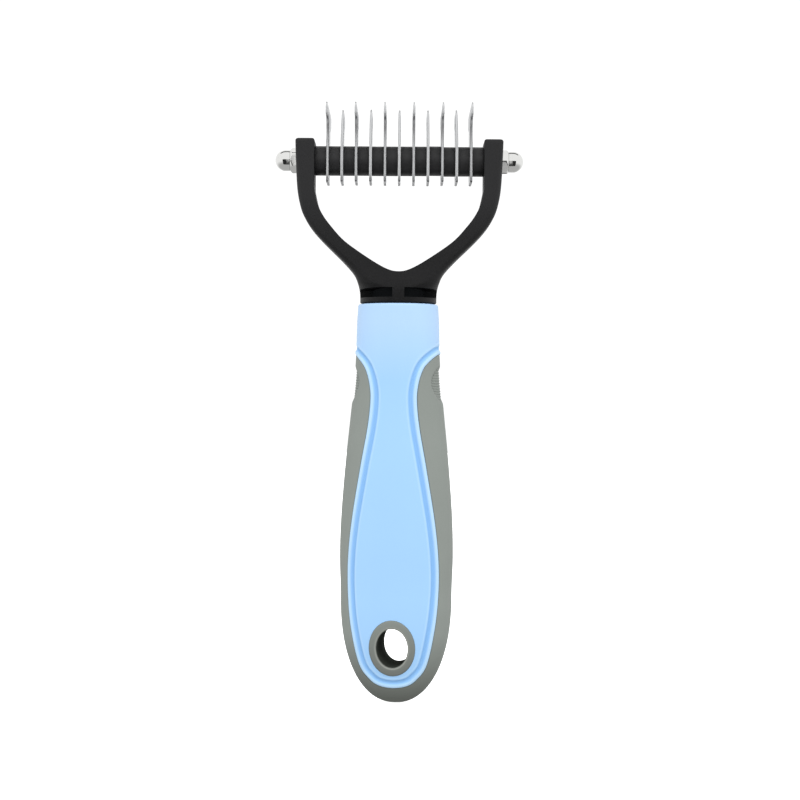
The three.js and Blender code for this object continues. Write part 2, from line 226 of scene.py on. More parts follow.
def turned(profile, segments, skin=None):
    """A round body about the X axis from (x, radius) pairs; it closes where the radius is 0."""
    skin = skin or Skin()
    angle = np.linspace(0, 2 * math.pi, segments, endpoint=False)
    skin.grid([ring_about_x(x, r, np.cos(angle), np.sin(angle)) for x, r in profile], loop=True)
    return skin


def ring_about_x(x, radius, y, z):
    """Points at x, with the directions (y, z) from the axis and one radius or one for each."""
    return np.stack([np.full(len(y), x), radius * y, radius * z], 1)


def link(name, mesh, material=None):
    """A new object at the origin with this mesh and material."""
    obj = bpy.data.objects.new(name, mesh)
    bpy.context.scene.collection.objects.link(obj)
    if material:
        mesh.materials.clear()
        mesh.materials.append(material)
    return obj


def finish_piece(obj, slot, *nodes):
    """The piece rides on the tool's one body and stands in for its CAD nodes, which it hides."""
    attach(obj, "root")
    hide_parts(*nodes)


def cut(obj, cutter_mesh):
    """Cuts the cutter's shape out of the object's mesh."""
    cutter = link(f"{obj.name}_cutter", cutter_mesh)
    modifier = obj.modifiers.new("cut", "BOOLEAN")
    modifier.object = cutter
    modifier.operation = "DIFFERENCE"
    modifier.solver = "EXACT"
    bake(obj)
    bpy.data.objects.remove(cutter)


def bake(obj):
    """Turns the evaluated object into a plain mesh without modifiers."""
    depsgraph = bpy.context.evaluated_depsgraph_get()
    mesh = bpy.data.meshes.new_from_object(obj.evaluated_get(depsgraph), depsgraph=depsgraph)
    obj.modifiers.clear()
    obj.data = mesh
    return obj


# ------------------------------------------------------------ nodes


def put(tree, kind, inputs=(), **settings):
    """Adds a node with its settings; inputs gives a value or a link for a socket's name or number."""
    node = tree.nodes.new(kind)
    for name, value in settings.items():
        setattr(node, name, value)
    for key, value in dict(inputs).items():
        if isinstance(value, bpy.types.NodeSocket):
            tree.links.new(value, node.inputs[key])
        else:
            node.inputs[key].default_value = value
    return node


def linear(hex_colour):
    """Linear RGBA from an sRGB hex colour."""
    parts = [int(hex_colour[i:i + 2], 16) / 255 for i in (1, 3, 5)]
    return tuple(v / 12.92 if v <= 0.04045 else ((v + 0.055) / 1.055) ** 2.4 for v in parts) + (1.0,)


def srgb_default(hex_colour):
    """The three linear numbers that a colour property starts from."""
    return linear(hex_colour)[:3]


def finish_tree(name):
    """A new material with its surface nodes: (material, tree, object coordinates, surface shader)."""
    material = bpy.data.materials.new(name)
    material.use_nodes = True
    tree = material.node_tree
    tree.nodes.clear()
    shader = put(tree, "ShaderNodeBsdfPrincipled")
    put(tree, "ShaderNodeOutputMaterial", {"Surface": shader.outputs["BSDF"]})
    place = put(tree, "ShaderNodeTexCoord").outputs["Object"]
    return material, tree, place, shader


def mixed(tree, share, first, second):
    """The colour between two others, by a share from 0 to 1."""
    return put(tree, "ShaderNodeMix", {0: share, 6: first, 7: second}, data_type="RGBA").outputs[2]


def surface(tree, shader, colour, grain, roughness, grain_height):
    """Gives the shader its colour, and a gloss and a bump that follow the grain."""
    gloss = put(tree, "ShaderNodeMapRange", {
        "Value": grain.outputs[0], "To Min": roughness[0], "To Max": roughness[1]})
    bump = put(tree, "ShaderNodeBump", {
        "Height": grain.outputs[0], "Distance": grain_height, "Strength": 1.0})
    tree.links.new(colour, shader.inputs["Base Color"])
    tree.links.new(gloss.outputs[0], shader.inputs["Roughness"])
    tree.links.new(bump.outputs[0], shader.inputs["Normal"])


def moulded(name, colours, grain, grain_height, roughness, mottling, specular=0.5, speckle=0.0,
            relief=None, fade=None):
    """A moulded plastic or rubber: two close shades, uneven gloss and the grain of the mould's face.

    speckle is how much of the tone follows the grain; relief gives the colours of a painted highlight on
    the raised parts and of painted shade in the sunk parts, which also lose their gloss; fade gives two
    heights and the colour reached at the second.
    """
    material, tree, place, shader = finish_tree(name)
    cloud = put(tree, "ShaderNodeTexNoise", {"Vector": place, "Scale": mottling, "Detail": 3.0})
    texture = put(tree, "ShaderNodeTexNoise", {"Vector": place, "Scale": grain, "Detail": 2.0})
    blend = put(tree, "ShaderNodeMix", {0: speckle, 2: cloud.outputs[0], 3: texture.outputs[0]})
    contrast = put(tree, "ShaderNodeMapRange", {
        "Value": blend.outputs[0], "From Min": 0.3, "From Max": 0.7})
    shade = mixed(tree, contrast.outputs[0], *colours)
    # A colour that comes in with height: the blue, grey and ring finishes use it for painted light and
    # shade.
    if fade:
        height = put(tree, "ShaderNodeSeparateXYZ", {0: place}).outputs[2]
        share = put(tree, "ShaderNodeMapRange", {
            "Value": height, "From Min": fade[0], "From Max": fade[1]})
        shade = mixed(tree, share.outputs[0], shade, fade[2])
    # Painted highlight on raised parts and painted shade in sunk parts, which also lose their gloss.
    if relief:
        level = put(tree, "ShaderNodeAttribute", attribute_name="relief").outputs["Fac"]
        sheen = put(tree, "ShaderNodeMapRange", {
            "Value": level, "From Min": -1.0, "From Max": 0.0, "To Max": specular})
        tree.links.new(sheen.outputs[0], shader.inputs["Specular IOR Level"])
        for end, colour in zip((1.0, -1.0), relief):
            part = put(tree, "ShaderNodeMapRange", {"Value": level, "From Max": end})
            shade = mixed(tree, part.outputs[0], shade, colour)
    else:
        shader.inputs["Specular IOR Level"].default_value = specular
    surface(tree, shader, shade, texture, roughness, grain_height)
    shader.inputs["IOR"].default_value = 1.5
    return material


def metal(name, colours, stretch, line_height, roughness):
    """A bare or plated metal with fine working lines; stretch sets the lines' direction and spacing."""
    material, tree, place, shader = finish_tree(name)
    lay = put(tree, "ShaderNodeMapping", {"Vector": place, "Scale": stretch})
    lines = put(tree, "ShaderNodeTexNoise", {"Vector": lay.outputs[0], "Scale": 1.0, "Detail": 4.0})
    cloud = put(tree, "ShaderNodeTexNoise", {"Vector": place, "Scale": 220.0, "Detail": 2.0})
    surface(tree, shader, mixed(tree, cloud.outputs[0], *colours), lines, roughness, line_height)
    shader.inputs["Metallic"].default_value = 1.0
    return material


def shades(colour, spread):
    """Two linear colours a little darker and a little lighter than the given one."""
    rgb = np.array(colour[:3])
    return tuple(rgb * (1 - spread)) + (1.0,), tuple(np.minimum(rgb * (1 + spread), 1)) + (1.0,)


# Name, panel colour and its spread, grain and its height, roughness, mottling, specular, speckle,
# and where there are any, the colours of the painted highlight on raised parts and the painted shade in
# sunk parts, and the fade in height.
MOULDED_FINISHES = {
    # Satin injection-moulded ABS: even colour, soft highlight, very fine grain, painted light making it
    # a little paler at the cap. Painted highlight on the rim of a panel, painted shade in its groove.
    "blue": ("Blue satin moulded ABS", "blue", 0.012, 3600, 0.000012, (0.42, 0.5), 45, 0.5, 0.3,
             ("#BADEFD", "#92C1EF"), (0.1, 0.118, "#B5D7FC")),
    # Overmoulded thermoplastic rubber: matt, slightly dusty, hardly any highlight, with painted
    # shade darkening the butt.
    "grey": ("Grey moulded TPR", "grey", 0.04, 3200, 0.00003, (0.68, 0.8), 70, 0.35, 0.4,
             None, (0.022, 0.0015, "#656963")),
    # The same rubber round the hanging hole, with a painted highlight on the lip, painted shade in the
    # bore and painted shade darkening the ring towards the bottom.
    "ring": ("Grey moulded TPR ring", "grey", 0.04, 3200, 0.00003, (0.68, 0.8), 70, 0.35, 0.4,
             ("#969992", "#484C46"), (0.035, 0.008, "#717570")),
    # Glass-filled nylon from a spark-eroded mould: near black with a fine grey speckle, paler towards
    # the tops of the arms. Painted shade gives the bottoms of the slots their colour and takes their
    # gloss.
    "fork": ("Black spark-eroded nylon", "black", 0.45, 1900, 0.00005, (0.46, 0.6), 90, 0.22, 0.8,
             ("#101011", "#202224"), (0.138, 0.158, "#262627")),
    # Extruded and cut ABS sleeve: smoother than the fork.
    "sleeve": ("Black satin sleeve", "sleeve", 0.25, 2600, 0.00002, (0.4, 0.5), 400, 0.35, 0.6,
               None, None),
}
# Name, panel colour and its spread, stretch and height of the working lines, roughness.
METAL_FINISHES = {
    # Stamped stainless sheet, ground along the blade and tumbled: bright edges, fine lines.
    "blade": ("Ground stainless steel", "steel", 0.05, (2600, 420, 5200), 0.000004, (0.28, 0.4)),
    # Bright chrome plate over brass: mirror-like with a trace of orange peel.
    "chrome": ("Bright chrome plate", "chrome", 0.02, (900, 900, 900), 0.000002, (0.05, 0.1)),
    # Zinc plated mild steel rod: greyer and duller, drawn lines along it.
    "rod": ("Zinc plated steel", "zinc", 0.06, (300, 4200, 4200), 0.000004, (0.34, 0.46)),
}
made_finishes = {}


def finish(name):
    """Makes each finish once, from the colours in the panel."""
    if name not in made_finishes:
        metallic = name in METAL_FINISHES
        label, colour, spread, *rest = (METAL_FINISHES if metallic else MOULDED_FINISHES)[name]
        colours = shades(getattr(bpy.context.scene.rake_colours, colour), spread)
        if metallic:
            made_finishes[name] = metal(label, colours, *rest)
        else:
            *rest, relief, fade = rest
            relief = relief and tuple(map(linear, relief))
            fade = fade and (*fade[:2], linear(fade[2]))
            made_finishes[name] = moulded(label, colours, *rest, relief, fade)
    return made_finishes[name]


# ------------------------------------------------------------ handle


def squareness(z):
    """Exponent of the handle's section: fuller at the belly, nearly round at the cap."""
    return 2.5 - 0.35 * ease(60, 120, z)


def butt_share(z):
    """How much of the full section is left at a height in the rounded butt."""
    drop = np.clip((BUTT - z) / BUTT, 0, 1)
    return np.maximum(1 - drop**BUTT_SQUARENESS, 1e-9) ** (1 / BUTT_SQUARENESS)


def handle_halves(z):
    """Half width and half depth of the handle at a height."""
    up = np.maximum(z, BUTT)
    share = butt_share(z)
    return along(HANDLE_HALF_WIDTH, up) * share, along(HANDLE_HALF_DEPTH, up) * share


def handle_front(x, z):
    """Y of the handle's front face."""
    w, d = handle_halves(z)
    n = squareness(z)
    return -d * np.maximum(1 - np.minimum(np.abs(x) / w, 1) ** n, 0) ** (1 / n)


def handle_level(p):
    """Zero on the handle's surface, positive outside it."""
    z = p[..., 2]
    up = np.maximum(z, BUTT)
    n = squareness(z)
    across = (np.abs(p[..., 0]) / along(HANDLE_HALF_WIDTH, up)) ** n
    across = across + (np.abs(p[..., 1]) / along(HANDLE_HALF_DEPTH, up)) ** n
    drop = np.maximum(BUTT - z, 0) / BUTT
    low = across ** (BUTT_SQUARENESS / n) + drop**BUTT_SQUARENESS - 1
    return np.where(z < BUTT, low, across ** (2 / n) - 1)


def handle_slope(p):
    """Gradient of handle_level."""
    step = 0.01
    parts = []
    for axis in range(3):
        move = np.zeros(3)
        move[axis] = step
        parts.append((handle_level(p + move) - handle_level(p - move)) / (2 * step))
    return np.stack(parts, axis=-1)


def onto_handle(p):
    """Moves points square onto the handle's surface."""
    for _ in range(6):
        g = handle_slope(p)
        p = p - (handle_level(p) / np.sum(g * g, axis=-1))[..., None] * g
    return p


class Outline:
    """The line where blue meets grey on the front right quarter, and the directions along it."""

    def __init__(self, count=2400):
        flat = half_spline(PANEL, 500)
        w, _ = handle_halves(flat[:, 1])
        last = int(np.argmax(flat[:, 0] > w))
        flat = flat[:last]
        front = np.column_stack([flat[:, 0], handle_front(flat[:, 0], flat[:, 1]), flat[:, 1]])
        top = np.array([[w[last], 0.0, flat[-1, 1]]])
        front = np.vstack([front, top])
        run = lengths(front)
        self.at = np.linspace(0, run[-1], count)
        self.points = onto_handle(pick(front, run, self.at))
        self.points[0, 0] = 0
        self.points[-1, 1] = 0
        before = np.vstack([self.points[1] * [-1, 1, 1], self.points[:-1]])
        after = np.vstack([self.points[1:], self.points[-2] * [1, -1, 1]])
        self.normal = unit(handle_slope(self.points))
        self.inward = unit(np.cross(self.normal, unit(after - before)))

    def offset(self, distance):
        """The outline moved along the surface; a positive distance goes into the blue."""
        moved = onto_handle(self.points + distance * self.inward)
        moved[0, 0] = 0
        moved[-1, 1] = 0
        return moved


def raised(points, height):
    """Points lifted off the handle's surface by a height."""
    return points + unit(handle_slope(points)) * np.asarray(height)[..., None]


def hole_edge(growth, z):
    """Half width of the hanging hole's oval, grown by an amount, at each height."""
    half_width, half_height = RING_OUTER[0] + growth, RING_OUTER[1] + growth
    return half_width * np.sqrt(np.maximum(1 - ((z - HOLE_HEIGHT) / half_height) ** 2, 0))


def outline_stops(outline, inner, hole_growth):
    """Where along the outline the rows of the blue field start, closer together round the hole."""
    height = np.maximum.accumulate(inner[:, 2] + np.arange(len(inner)) * 1e-9)
    reach = RING_OUTER[1] + hole_growth
    oval = HOLE_HEIGHT - reach * np.cos(np.linspace(0, math.pi, 45))
    round_hole = np.interp(oval, height, outline.at)
    foot = np.linspace(0, round_hole[0], 9)[:-1]
    rest = np.linspace(round_hole[-1], outline.at[-1], 190)[1:]
    return np.concatenate([foot, round_hole, rest])


def side_line(top):
    """The handle's outline seen from the front, from the foot's pole up to a height."""
    z = np.concatenate([[0], np.geomspace(1e-4, 1, 60), np.linspace(1, top, 900)[1:]])
    line = np.column_stack([handle_halves(z)[0], np.zeros_like(z), z])
    line[0, 0] = 0
    return line


def grip_surface(outline, stops, start, columns, share):
    """Rows of points on the grey side, from beside the outline round to the tool's side."""
    edge = pick(outline.offset(-start), outline.at, stops)
    line = side_line(edge[-1, 2])
    nearest = np.argmin(
        (edge[:, None, 0] - line[None, :, 0]) ** 2 + (edge[:, None, 2] - line[None, :, 2]) ** 2, axis=1)
    nearest = np.maximum.accumulate(nearest)
    side = line[nearest]
    side[0], side[-1] = line[0], line[-1]
    fall = (1 - np.linspace(0, 1, columns)) ** share
    rows = side[:, None, :] + (edge - side)[:, None, :] * fall[None, :, None]
    rows[..., 1] = handle_front(rows[..., 0], rows[..., 2])
    rows[:, -1, 1] = 0
    rows = onto_handle(rows)
    rows[0, :, 0] = 0
    rows[:, -1, 1] = 0
    return rows


def thumb_dip(points, depth):
    """How far the thumb rest is sunk at each point of the grip."""
    across = np.abs(points[..., 1]) / THUMB_HALF_DEPTH
    up = points[..., 2] - THUMB_HEIGHT
    up = up / np.where(up > 0, THUMB_UP, THUMB_DOWN)
    return depth * (1 - ease(0.84, 1.0, np.sqrt(across**2 + up**2)))


# Cross-section of the moulded edge of a blue panel: (distance from the seam, height, relief: +1 for a
# painted highlight on the rim, -1 for painted shade in the groove).
PANEL_EDGE = (
    (0, -0.5, 0), (0, -0.22, 0.2), (0.05, -0.06, 0.6), (0.18, 0.1, 1), (0.42, 0.24, 1), (0.72, 0.3, 1),
    (1.0, 0.25, 0.9), (1.22, 0.1, 0.4), (1.4, -0.12, -0.2), (1.58, -0.38, -0.7), (1.8, -0.56, -1),
    (2.1, -0.6, -1), (2.4, -0.52, -1), (2.64, -0.32, -0.7), (2.84, -0.12, -0.2), (3.04, 0.02, 0.35),
    (3.26, 0.06, 0.5), (3.5, 0.03, 0.3), (3.75, 0, 0),
)
BURIED = 1.6  # how deep the blue core runs on under the grey skin
TANG_FLOOR = 94.7  # the bottom of the socket for the fork's tang
CAP_ROUND = 0.7  # radius of the cap's top edge


def build_core(settings):
    """The blue core: two panels with a rim and a groove, the cap, the socket and the hanging hole."""
    outline = Outline()
    growth = 0.06
    groove = settings.groove_depth / MM / 0.6
    inner = outline.offset(PANEL_EDGE[-1][0])
    stops = outline_stops(outline, inner, growth)
    fade = 1 - 0.75 * ease(outline.at[-1] - 7, outline.at[-1], stops)
    skin = Skin()

    band = []
    for distance, height, _ in PANEL_EDGE:
        line = pick(outline.offset(distance), outline.at, stops)
        level = np.full(len(stops), float(height))
        if height < 0 and distance > 1.2:
            level = level * fade * groove
        line = raised(line, level)
        line[0, 0], line[-1, 1] = 0, 0
        band.append(line)
    # The rim takes a painted highlight and the groove painted shade.
    skin.grid(band, relief=[relief for _, _, relief in PANEL_EDGE])

    under = raised(grip_surface(outline, stops, 0, 22, 2.3), np.full((len(stops), 22), -BURIED))
    under[0, :, 0], under[:, -1, 1] = 0, 0
    skin.grid(under)
    skin.grid([under[:, 0], band[0]])

    ends = band[-1]
    z = ends[:, 2]
    w, d = handle_halves(z)
    n = squareness(z)
    last = np.arctan2((ends[:, 0] / w) ** (n / 2), (np.abs(ends[:, 1]) / d) ** (n / 2))
    open_half = np.minimum(hole_edge(growth, z), w * 0.95)
    first = np.arcsin((open_half / w) ** (n / 2))
    columns = 26
    share = np.linspace(0, 1, columns)[None, :]
    angle = first[:, None] + (last - first)[:, None] * share
    field = np.stack([
        w[:, None] * np.sin(angle) ** (2 / n)[:, None],
        -d[:, None] * np.maximum(np.cos(angle), 0) ** (2 / n)[:, None],
        np.repeat(z[:, None], columns, axis=1)], axis=-1)
    field[:, -1] = ends
    field[-1, -1, 1] = 0
    skin.grid(field)

    in_hole = np.abs(z - HOLE_HEIGHT) <= RING_OUTER[1] + growth + 1e-6
    rim = field[in_hole, 0]
    skin.grid([rim, rim * [1, 0, 1]])

    # The cap above the panels, its rounded shoulder, and the socket for the fork's tang.
    share = last[-1] * np.linspace(0, 1, columns)
    rows = [field[-1]]
    for height in np.linspace(z[-1], HANDLE_TOP - CAP_ROUND, 24)[1:]:
        rows.append(cap_row(height, share, 0))
    for turn in np.linspace(0, math.pi / 2, 7)[1:]:
        height = HANDLE_TOP - CAP_ROUND + CAP_ROUND * math.sin(turn)
        rows.append(cap_row(height, share, CAP_ROUND * (1 - math.cos(turn))))
    socket = (
        (TANG_SOCKET_RADIUS, HANDLE_TOP), (TANG_SOCKET_RADIUS, TANG_FLOOR), (0, TANG_FLOOR))
    for radius, height in socket:
        rows.append(np.stack([
            radius * np.sin(share), -radius * np.cos(share), np.full(columns, height)], axis=-1))
    for row in rows[1:]:
        row[-1, 1] = 0
        row[0, 0] = 0
    skin.grid(rows)
    return skin.mirrored(0, 1).mesh("handle_core_shell", handle_turn())


def cap_row(height, angle, inset):
    """One row round a quarter of the handle at a height, drawn in by an inset."""
    z = np.full(len(angle), float(height))
    w, d = handle_halves(z)
    n = squareness(z)
    return np.stack([
        (w - inset) * np.sin(angle) ** (2 / n),
        -(d - inset) * np.maximum(np.cos(angle), 0) ** (2 / n), z], axis=-1)


def handle_turn():
    return bpy.context.scene.rake_handle.turn


def build_grip(settings):
    """The grey skin that wraps both sides and the foot, with a sunk thumb rest on each side."""
    outline = Outline()
    stops = np.linspace(0, outline.at[-1], 255)
    depth = settings.thumb_depth / MM
    skin = Skin()
    edge = []
    for distance, height in ((-0.07, -1.25), (-0.07, -0.3), (-0.11, -0.12), (-0.2, -0.03)):
        line = raised(pick(outline.offset(distance), outline.at, stops), np.full(len(stops), height))
        edge.append(line)
    top = grip_surface(outline, stops, 0.36, 44, 1.9)
    top = raised(top, -thumb_dip(top, depth))
    edge.append(top[:, 0])
    foot = grip_surface(outline, stops, 0.07, 44, 1.9)
    foot = raised(foot, np.full(foot.shape[:2], -1.25))
    edge[0] = foot[:, 0]
    for line in edge:
        line[0, 0], line[-1, 1] = 0, 0
    for sheet in (top, foot):
        sheet[0, :, 0], sheet[:, -1, 1] = 0, 0
    skin.grid(edge)
    skin.grid(top)
    skin.grid(foot)
    return skin.mirrored(0, 1).mesh("grip_skin", handle_turn())


def build_grommet():
    """The oval ring that lines the hanging hole: a flat face, a narrow rounded lip with a painted
    highlight and a bore darkened by painted shade.
    """
    section = (
        (0.0, -0.9, 0), (0.0, 0.02, 0), (0.03, 0.16, 0), (0.1, 0.26, 0), (0.2, 0.3, 0),
        (0.5, 0.32, 0), (0.72, 0.34, 0.1), (0.82, 0.32, 0.9), (0.9, 0.22, 0.9), (0.96, 0.02, 0.1),
        (0.99, -0.25, -0.6), (1.0, -0.6, -0.9), (1.0, -1.1, -1),
    )
    angle = np.linspace(0, math.pi, 73)
    skin, rows = Skin(), []
    for share, height, _ in section:
        x = (RING_OUTER[0] + (RING_INNER[0] - RING_OUTER[0]) * share) * np.sin(angle)
        half_height = RING_OUTER[1] + (RING_INNER[1] - RING_OUTER[1]) * share
        z = HOLE_HEIGHT - half_height * np.cos(angle)
        points = np.column_stack([x, handle_front(x, z), z])
        points[:, 1] -= height
        rows.append(points)
    bore = rows[-1]
    for depth in (0.66, 0.33, 0.0):
        rows.append(bore * [1, depth, 1])
    rows.insert(0, rows[0] * [1, 0, 1])
    for row in rows:
        row[0, 0], row[-1, 0] = 0, 0
    # Painted highlight on the lip, painted shade down the bore.
    skin.grid(rows, relief=[0] + [relief for _, _, relief in section] + [-1] * 3)
    return skin.mirrored(0, 1).mesh("grommet_ring", handle_turn())


# ------------------------------------------------------------ fork


def fork_face(x, z):
    """Y of the fork's front face."""
    w, d = along(FORK_HALF_WIDTH, z), along(FORK_HALF_DEPTH, z)
    r = np.minimum(np.minimum(along(FORK_CORNER, z), w), d)
    past = np.clip(np.abs(x) - (w - r), 0, r)
    return -(d - r + np.sqrt(np.maximum(r * r - past * past, 0)))


def fork_section(inner, outer_height, columns=26):
    """Front face from an inner point out to the fork's side at a height, then round to its middle."""
    w = float(along(FORK_HALF_WIDTH, outer_height))
    fall = (1 - np.linspace(0, 1, columns)) ** 2
    x = w + (inner[0] - w) * fall
    z = outer_height + (inner[1] - outer_height) * fall
    face = np.column_stack([x, fork_face(x, z), z])
    side = face[-1] * np.column_stack([np.ones(4), [0.66, 0.33, 0.12, 0.0], np.ones(4)])
    return np.vstack([face, side])


def build_fork():
    """The fork: a round collar that spreads into two arms, with a rounded throat and flat arm ends."""
    fillet, top_round = 0.35, 0.8
    skin = Skin()
    curve = half_spline(THROAT, 60)
    rise = np.linspace(THROAT[-1][1], FORK_TOP - top_round, 200)[1:]
    curve = np.vstack([curve, np.column_stack([np.full(len(rise), ARM_INNER), rise])])
    run = lengths(curve)
    throat = pick(curve, run, np.linspace(0, run[-1], 108))
    throat[0, 0] = 0
    tangent = np.gradient(throat, axis=0)
    tangent[0] = (1, 0)
    tangent[-1] = (0, 1)
    tangent = unit(tangent)
    inward = np.column_stack([tangent[:, 1], -tangent[:, 0]])
    anchor = throat + inward * fillet

    outer = np.linspace(126, FORK_TOP - top_round, 1200)
    outer_line = np.column_stack([along(FORK_HALF_WIDTH, outer), outer])
    gap = np.linalg.norm(anchor[:, None] - outer_line[None], axis=2)
    reach = np.maximum.accumulate(outer[np.argmin(gap, axis=1)])
    level = ease(152, 166, throat[:, 1])
    reach = reach + (np.minimum(throat[:, 1], outer[-1]) - reach) * level
    reach = np.convolve(np.pad(reach, 3, mode="edge"), np.ones(7) / 7, mode="valid")
    reach[-1] = FORK_TOP - top_round

    turn = np.linspace(math.pi / 2, 0, 5)[:-1]
    rows = []
    for point, inside, start, end in zip(throat, inward, anchor, reach):
        section = fork_section(start, end)
        depth = -section[0, 1]
        wall = -(depth - fillet)
        lead = [(point[0], wall * share, point[1]) for share in (0, 0.33, 0.66)]
        for angle in turn:
            place = point + inside * fillet * (1 - math.sin(angle))
            lead.append((place[0], -(depth - fillet * (1 - math.cos(angle))), place[1]))
        rows.append(np.vstack([lead, section]))
    skin.grid(rows)

    arm_middle = (ARM_INNER + float(along(FORK_HALF_WIDTH, FORK_TOP))) / 2
    half_arm = arm_middle - ARM_INNER
    last = rows[-1]
    ends = [last]
    for angle in np.linspace(0, math.pi / 2, 6)[1:]:
        inset = top_round * (1 - math.cos(angle))
        ring = last.copy()
        ring[:, 0] = arm_middle + (last[:, 0] - arm_middle) * (1 - inset / half_arm)
        ring[:, 1] = last[:, 1] * (1 - inset / FORK_HALF_DEPTH[-1][1])
        ring[:, 2] = FORK_TOP - top_round + top_round * math.sin(angle)
        ends.append(ring)
    skin.grid(ends)
    skin.fill(ends[-1])

    foot_round, foot_radius = 0.35, 11.8
    heights = np.linspace(COLLAR_BOTTOM + foot_round, COLLAR_TOP, 12)[:-1]
    inner_z = np.concatenate([heights, np.linspace(COLLAR_TOP, anchor[0, 1], 9)])
    outer_z = np.concatenate([heights, np.linspace(COLLAR_TOP, reach[0], 9)])
    collar = [fork_section((0, a), b) for a, b in zip(inner_z, outer_z)]
    foot = []
    for angle in np.linspace(0, math.pi / 2, 5)[1:]:
        inset = foot_round * (1 - math.cos(angle))
        ring = collar[0].copy()
        ring[:, :2] *= 1 - inset / foot_radius
        ring[:, 2] = COLLAR_BOTTOM + foot_round * (1 - math.sin(angle))
        foot.insert(0, ring)
    tang = []
    for radius, height in ((0, 95.2), (7.0, 95.2), (7.5, 95.7), (7.5, COLLAR_BOTTOM)):
        angle = np.arctan2(collar[0][:, 0], -collar[0][:, 1])
        tang.append(np.column_stack([
            radius * np.sin(angle), -radius * np.cos(angle), np.full(len(angle), height)]))
    collar = tang + foot + collar
    for row in collar:
        row[0, 0] = 0
        row[-1, 1] = 0
    skin.grid(collar)
    return skin.mirrored(0, 1).mesh("fork_body", sharp=32)


def fork_cuts():
    """The cooling slots round the collar, and a seat and bore for the nut on each arm."""
    skin = Skin()
    steps = 28
    corners = []
    for radius in (SLOT_DEPTH_RADIUS, 15.0):
        angle = np.linspace(math.asin(1.85 / radius), math.acos(1.2 / radius), steps)
        x, y = radius * np.sin(angle), -radius * np.cos(angle)
        drop = 0.7 * (np.linspace(0, 1, steps) ** 2)
        corners.append((np.column_stack([x, y, np.full(steps, SLOT_BOTTOM)]),
                        np.column_stack([x, y, SLOT_TOP - drop])))
    (inner_low, inner_high), (outer_low, outer_high) = corners
    rows = [inner_low, outer_low, outer_high, inner_high, inner_low]
    skin.grid(rows)
    for end in (0, -1):
        skin.fill([inner_low[end], outer_low[end], outer_high[end], inner_high[end]])
    skin.mirrored(1)
    seat = Skin()
    turned(((22, 0), (22, BORE_RADIUS), (SEAT_X, BORE_RADIUS), (SEAT_X, SEAT_RADIUS),
            (40, SEAT_RADIUS), (40, 0)), 64, seat)
    first = len(skin.points)
    skin.points.extend((x, y, z + rod_height()) for x, y, z in seat.points)
    skin.faces.extend([tuple(first + i for i in face) for face in seat.faces])
    return skin.mirrored(0).mesh("fork_cuts")


def paint_slot_shade(mesh):
    """Paints shade into the inner ends of the collar slots: a relief of -1 there gives them the fork's
    painted shade colour and no gloss.
    """
    points = np.empty(len(mesh.vertices) * 3, np.float32)
    mesh.vertices.foreach_get("co", points)
    x, y, z = points.reshape(-1, 3).T / MM
    # The inner ends of the slots, where painted shade goes.
    inner = (np.hypot(x, y) < SLOT_DEPTH_RADIUS + 1) & (z > 126) & (z < 130)
    layer = mesh.attributes.new("relief", "FLOAT", "POINT")
    layer.data.foreach_set("value", np.where(inner, -1.0, 0.0).astype(np.float32))


# ------------------------------------------------------------ blade row


def rod_height():
    return bpy.context.scene.rake_head.rod_height / MM


def bezier(start, *controls, steps=10):
    """Points of a quadratic or cubic curve after its start point."""
    t = np.linspace(0, 1, steps + 1)[1:, None]
    p = [np.array(point, float) for point in (start, *controls)]
    if len(p) == 3:
        return (1 - t) ** 2 * p[0] + 2 * t * (1 - t) * p[1] + t**2 * p[2]
    return (1 - t)**3 * p[0] + 3 * t * (1 - t)**2 * p[1] + 3 * t**2 * (1 - t) * p[2] + t**3 * p[3]


def blade_outline(double):
    """A blade's side view about the rod's axis: points (y, z) and its edge (width ground, half left).

    The crown is ground from both sides almost to a knife edge, the inside of a hook less.
    """
    plain, crown, nose, inside = (0.12, 0.26), (1.9, 0.13), (1.2, 0.2), (0.2, 0.26)
    run = [
        ("line", (-4.6, -7.2), plain), ("line", (4.6, -7.2), plain),
        ("curve", ((7, -7.2), (7, -4.6)), plain), ("line", (7, 4.5), plain),
        ("curve", ((7.1, 8.8), (8.4, 12), (11, 12.2)), inside),
        ("curve", ((12.6, 12.3), (13.4, 11.4)), inside),
        ("curve", ((14.3, 10.5), (16, 11.2), (16, 13.2)), nose),
        ("curve", ((16, 15.2), (15.2, 16.5), (13.4, 16.6)), nose),
    ]
    if double:
        run += [
            ("curve", ((7, 16.7), (0, 16.7)), crown), ("curve", ((-7, 16.7), (-13.4, 16.6)), crown),
            ("curve", ((-15.4, 16.5), (-16, 15.8), (-16, 14.8)), nose), ("line", (-16, 13.1), nose),
            ("curve", ((-16, 11.7), (-14.6, 11.6), (-13.4, 12.3)), nose),
            ("curve", ((-12.6, 12.8), (-11, 12.6)), inside),
            ("curve", ((-8.4, 12.2), (-7.1, 8.8), (-7, 4.5)), inside),
        ]
    else:
        run += [
            ("curve", ((8, 16.7), (4.4, 16.7)), crown), ("curve", ((2.6, 16.7), (1.6, 15.4)), nose),
            ("line", (-7, 4.5), plain),
        ]
    run += [("line", (-7, -4.6), plain), ("curve", ((-7, -7.2), (-4.6, -7.2)), plain)]
    points, edge = [np.array([run[0][1]], float)], [plain]
    for kind, data, ground in run[1:]:
        last = points[-1][-1]
        if kind == "curve":
            new = bezier(last, *data)
        elif math.dist(last, data) > 12:
            new = last + (np.array(data) - last) * np.linspace(0, 1, 9)[1:, None]
        else:
            new = np.array([data], float)
        points.append(new)
        edge.extend([ground] * len(new))
    points, edge = np.vstack(points)[:-1], np.array(edge[:-1])
    pad = np.pad(edge, ((3, 3), (0, 0)), mode="wrap")
    soft = np.stack([np.convolve(column, np.ones(7) / 7, mode="valid") for column in pad.T], axis=1)
    return points, soft[:, 0], soft[:, 1]


